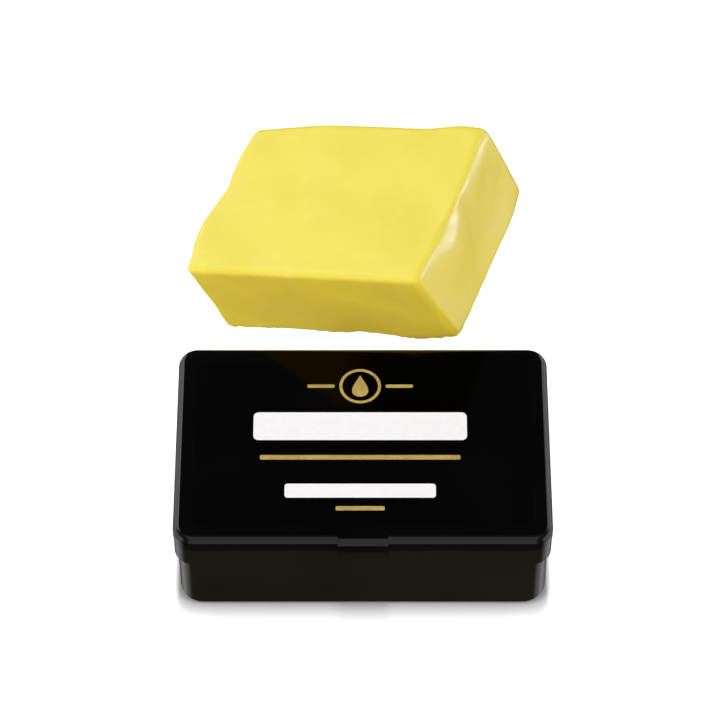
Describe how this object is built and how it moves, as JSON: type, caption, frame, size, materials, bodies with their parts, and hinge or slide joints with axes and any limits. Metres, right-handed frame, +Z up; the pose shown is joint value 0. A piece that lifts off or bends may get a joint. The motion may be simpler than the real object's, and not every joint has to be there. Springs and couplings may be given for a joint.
{
  "type": "clay bar",
  "caption": "Block of detailing clay for cleaning car paint, shown beside the low hinged plastic case it is kept in.",
  "frame": {"origin": "middle of the closed case's underside, on the table", "axes": "+X to the right along the case's width, +Y from the lift tab towards the hinge, +Z up"},
  "size_m": [0.105, 0.1546, 0.0535],
  "materials": {
    "case_plastic": "glossy injection-moulded black plastic",
    "label_film": "glossy black printed film with a faint dark gold tint",
    "clay": "soft waxy yellow clay with a slight sheen"
  },
  "bodies": {
    "base": {"base_tray": "case_plastic"},
    "lid": {"case_lid": "case_plastic", "lid_label": "label_film"},
    "clay": {"clay_bar": "clay"}
  },
  "joints": [
    {"name": "lid_hinge", "type": "hinge", "parent": "base", "child": "lid", "pos_m": [0, 0.02925, 0.0305], "axis": [-1, 0, 0], "range_deg": [0, 90]},
    {"name": "clay_lift", "type": "slide", "parent": "base", "child": "clay", "axis": [0, 0, 1], "range_m": [0, 0.08]}
  ]
}
